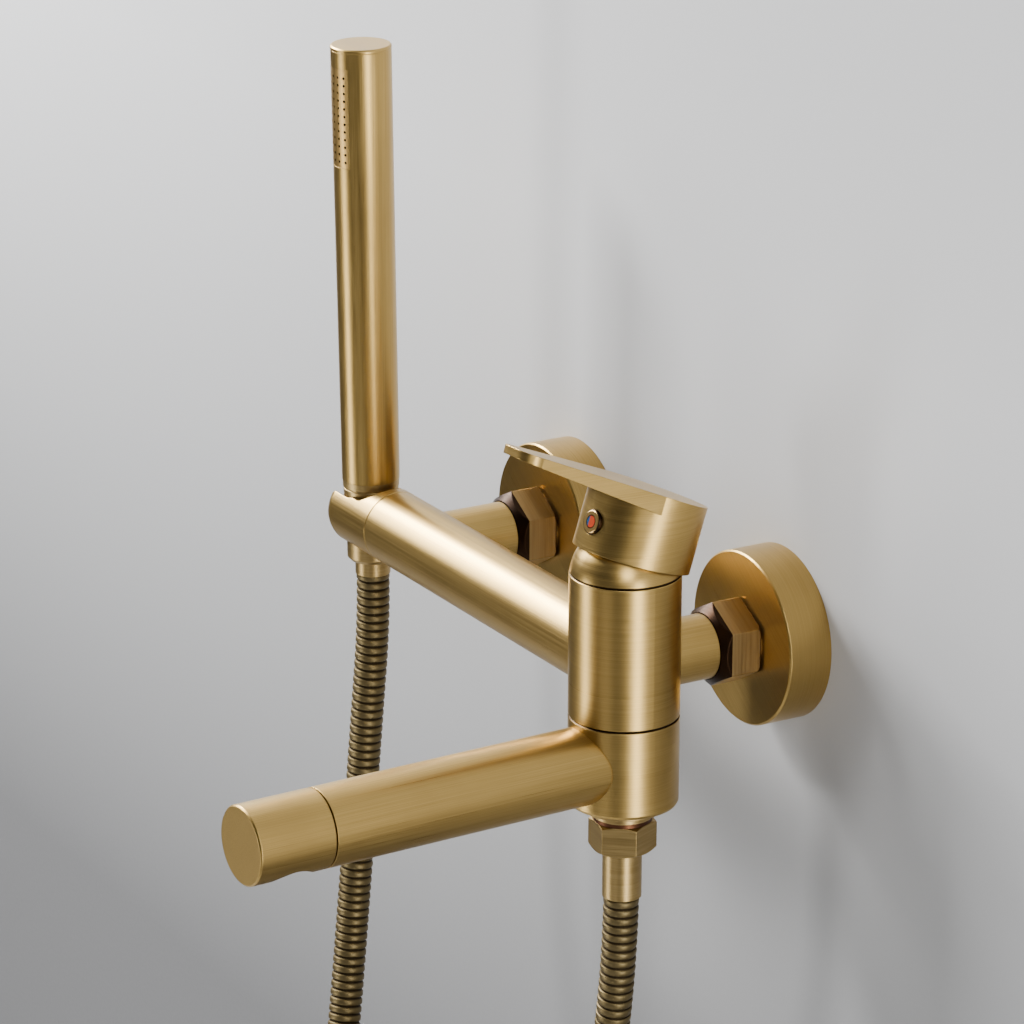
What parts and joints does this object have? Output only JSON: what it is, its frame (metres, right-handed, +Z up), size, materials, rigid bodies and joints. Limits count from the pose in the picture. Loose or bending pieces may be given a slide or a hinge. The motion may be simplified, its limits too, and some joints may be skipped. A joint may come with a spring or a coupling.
{
  "type": "wall mounted bath faucet",
  "caption": "Exposed wall bath mixer: upright lever valve, cross bar, long round spout with diverter knob, slim handset in a tilting holder, metal hose.",
  "frame": {"origin": "on the finished wall, midway between the axes of the two inlet threads", "axes": "+X to the right facing the wall, +Y into the wall, +Z up"},
  "size_m": [0.2437, 0.2488, 0.5585],
  "materials": {
    "brushed_brass": "satin antique brass, brushed round the parts",
    "bronze_nut": "darker aged bronze, satin",
    "hose_metal": "double-interlock metal hose, antique bronze",
    "hose_cover": "antique bronze, plain",
    "dark_rubber": "black nitrile, matt",
    "fibre": "red-brown fibre gasket",
    "white_plastic": "white acetal, matt",
    "grey_plastic": "grey engineering plastic",
    "ceramic": "polished alumina disc",
    "steel": "stainless steel",
    "indicator": "polished brass cap with a red and a blue mark",
    "spray_metal": "fine matt brass, drilled",
    "tie": "black strap"
  },
  "bodies": {
    "mixer": {"wall_union_left": "bronze_nut", "rosette_left": "brushed_brass", "union_nut_left": "bronze_nut", "union_gasket_left": "fibre", "check_valve_left": "white_plastic", "wall_union_right": "bronze_nut", "rosette_right": "brushed_brass", "union_nut_right": "bronze_nut", "union_gasket_right": "fibre", "check_valve_right": "white_plastic", "mixer_body": "brushed_brass", "cartridge_housing": "grey_plastic", "ceramic_fixed": "ceramic", "cartridge_nut": "bronze_nut", "dome_ring": "brushed_brass", "hub_glide_ring": "white_plastic", "hub_seals": "dark_rubber", "hub_retaining_washer": "bronze_nut", "outlet_nipple": "bronze_nut", "nipple_gasket": "fibre", "hose_nut": "bronze_nut", "hose_washer": "dark_rubber", "ferrule_right": "hose_cover", "holder_screw": "steel", "hose_left_leg": "hose_metal", "hose_right_leg": "hose_metal", "hose_coil": "hose_metal", "coil_ties": "tie"},
    "carrier": {"cartridge_carrier": "white_plastic", "stem_pin": "steel", "ceramic_moving": "ceramic"},
    "lever": {"lever_handle": "brushed_brass", "lever_stem": "bronze_nut", "lever_screw": "steel", "indicator_plug": "indicator"},
    "spout": {"spout_hub": "brushed_brass", "spout_tube": "brushed_brass", "diverter_sleeve": "bronze_nut", "aerator": "grey_plastic", "aerator_screen": "steel", "diverter_snap_ring": "steel", "diverter_seal": "dark_rubber"},
    "knob": {"diverter_knob": "brushed_brass"},
    "holder": {"holder_body": "brushed_brass", "holder_bush": "white_plastic", "holder_seat": "white_plastic"},
    "hose_end": {"ferrule_left": "hose_cover"},
    "handset": {"handset_fitting": "bronze_nut", "handset_collar": "bronze_nut", "handset_tube": "brushed_brass", "spray_face": "spray_metal", "handset_cap": "brushed_brass", "handset_liner": "white_plastic", "handset_base": "bronze_nut", "flow_limiter": "grey_plastic"}
  },
  "joints": [
    {"name": "lever_swing", "type": "hinge", "parent": "mixer", "child": "carrier", "pos_m": [0.075, -0.07, 0.0333], "axis": [0, 0, 1], "range_deg": [-50.7, 39.3]},
    {"name": "lever_lift", "type": "hinge", "parent": "carrier", "child": "lever", "pos_m": [0.075, -0.07, 0.0333], "axis": [-0.9951, -0.0993, 0], "range_deg": [-18.7, 2.3]},
    {"name": "spout_swivel", "type": "hinge", "parent": "mixer", "child": "spout", "pos_m": [0.075, -0.07, -0.0375], "axis": [0, 0, 1], "range_deg": [-92, 88]},
    {"name": "diverter_turn", "type": "hinge", "parent": "spout", "child": "knob", "pos_m": [0.08023, -0.21991, -0.0375], "axis": [0.0349, -0.9994, 0], "range_deg": [0, 90]},
    {"name": "holder_tilt", "type": "hinge", "parent": "mixer", "child": "holder", "pos_m": [-0.11, -0.07, 0], "axis": [1, 0, 0], "range_deg": [-10, 15], "deforming": ["hose_left_leg"]},
    {"name": "handset_lift", "type": "slide", "parent": "holder", "child": "hose_end", "axis": [0, -0.0166, 0.9999], "range_m": [0, 0.06]},
    {"name": "handset_turn", "type": "hinge", "parent": "hose_end", "child": "handset", "pos_m": [-0.1222, -0.07, 0], "axis": [0, -0.0166, 0.9999], "range_deg": [-180, 180]}
  ]
}
